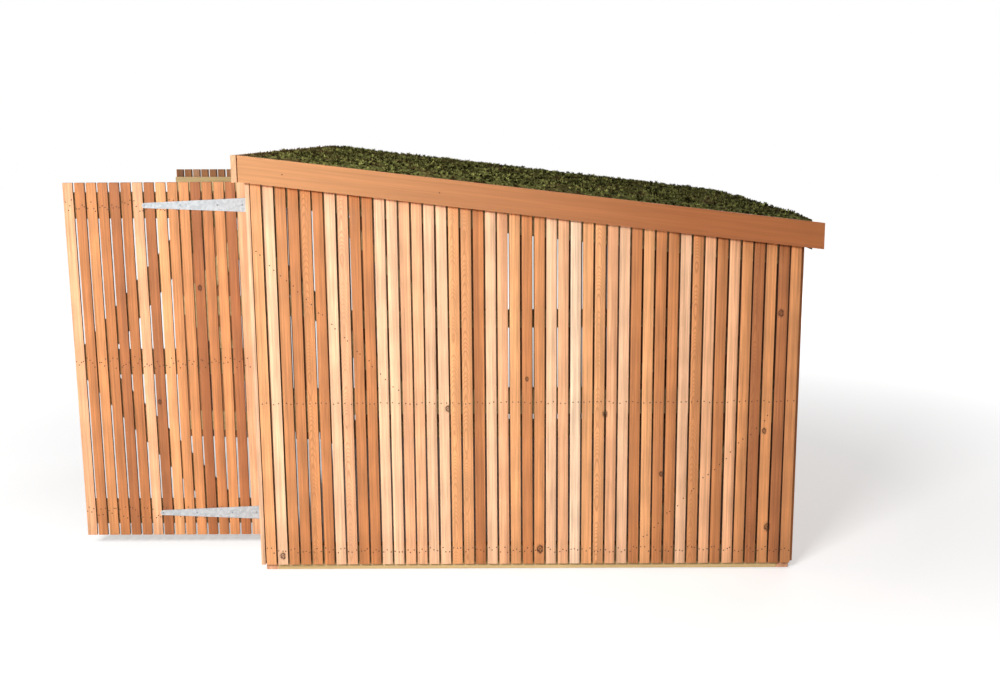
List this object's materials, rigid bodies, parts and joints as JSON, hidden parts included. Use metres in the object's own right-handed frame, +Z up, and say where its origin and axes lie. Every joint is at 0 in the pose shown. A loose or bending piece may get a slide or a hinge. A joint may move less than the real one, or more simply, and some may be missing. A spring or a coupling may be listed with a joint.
{
  "type": "bike shelter",
  "caption": "Timber bike shelter with gapped upright slats on a framed box, a planted roof that falls to the rear, and a pair of ledged doors on long tee hinges.",
  "frame": {"origin": "on the ground, in the middle of the plan that the shelter covers with its doors standing open", "axes": "+X from the doors to the low rear end, +Y from the near side to the far side, +Z up"},
  "size_m": [2.88, 2.104, 1.5965],
  "materials": {
    "cedar_slats": "planed softwood, tones from pale cream to red-brown, bare",
    "cedar_posts": "planed, bare",
    "cedar_fascia": "planed, salmon-orange, bare",
    "treated_timber": "pressure treated, greenish yellow, sawn",
    "plywood": "exterior plywood",
    "roof_liner": "dull sheet, dusty",
    "planted_mat": "low green planting with brown patches",
    "galvanised_steel": "galvanised, dull spangle"
  },
  "bodies": {
    "shelter": {"far_base_rail": "treated_timber", "far_fascia": "cedar_fascia", "far_front_post": "cedar_posts", "far_hinge_plates": "galvanised_steel", "far_jamb_post": "treated_timber", "far_mid_rail": "treated_timber", "far_pier_rails": "treated_timber", "far_pier_slats": "cedar_slats", "far_rear_post": "cedar_posts", "far_side_braces": "treated_timber", "far_side_slats": "cedar_slats", "far_top_rail": "treated_timber", "front_fascia": "cedar_fascia", "header": "treated_timber", "near_base_rail": "treated_timber", "near_fascia": "cedar_fascia", "near_front_post": "cedar_posts", "near_hinge_plates": "galvanised_steel", "near_jamb_post": "treated_timber", "near_mid_rail": "treated_timber", "near_pier_rails": "treated_timber", "near_pier_slats": "cedar_slats", "near_rear_post": "cedar_posts", "near_side_braces": "treated_timber", "near_side_slats": "cedar_slats", "near_top_rail": "treated_timber", "planted_mat": "planted_mat", "rafters": "treated_timber", "rear_base_rail": "treated_timber", "rear_drip_edge": "roof_liner", "rear_fascia": "cedar_fascia", "rear_mid_rail": "treated_timber", "rear_slats": "cedar_slats", "rear_top_rail": "treated_timber", "roof_deck": "plywood", "roof_liner": "roof_liner"},
    "near_door": {"near_door_slats": "cedar_slats", "near_door_ledges": "treated_timber", "near_door_braces": "treated_timber", "near_door_straps": "galvanised_steel"},
    "far_door": {"far_door_slats": "cedar_slats", "far_door_ledges": "treated_timber", "far_door_braces": "treated_timber", "far_door_straps": "galvanised_steel"}
  },
  "joints": [
    {"name": "near_door_hinge", "type": "hinge", "parent": "shelter", "child": "near_door", "pos_m": [-0.679, -0.764, 0], "axis": [0, 0, 1], "range_deg": [-90, 80]},
    {"name": "far_door_hinge", "type": "hinge", "parent": "shelter", "child": "far_door", "pos_m": [-0.679, 0.764, 0], "axis": [0, 0, -1], "range_deg": [-97, 73]}
  ]
}
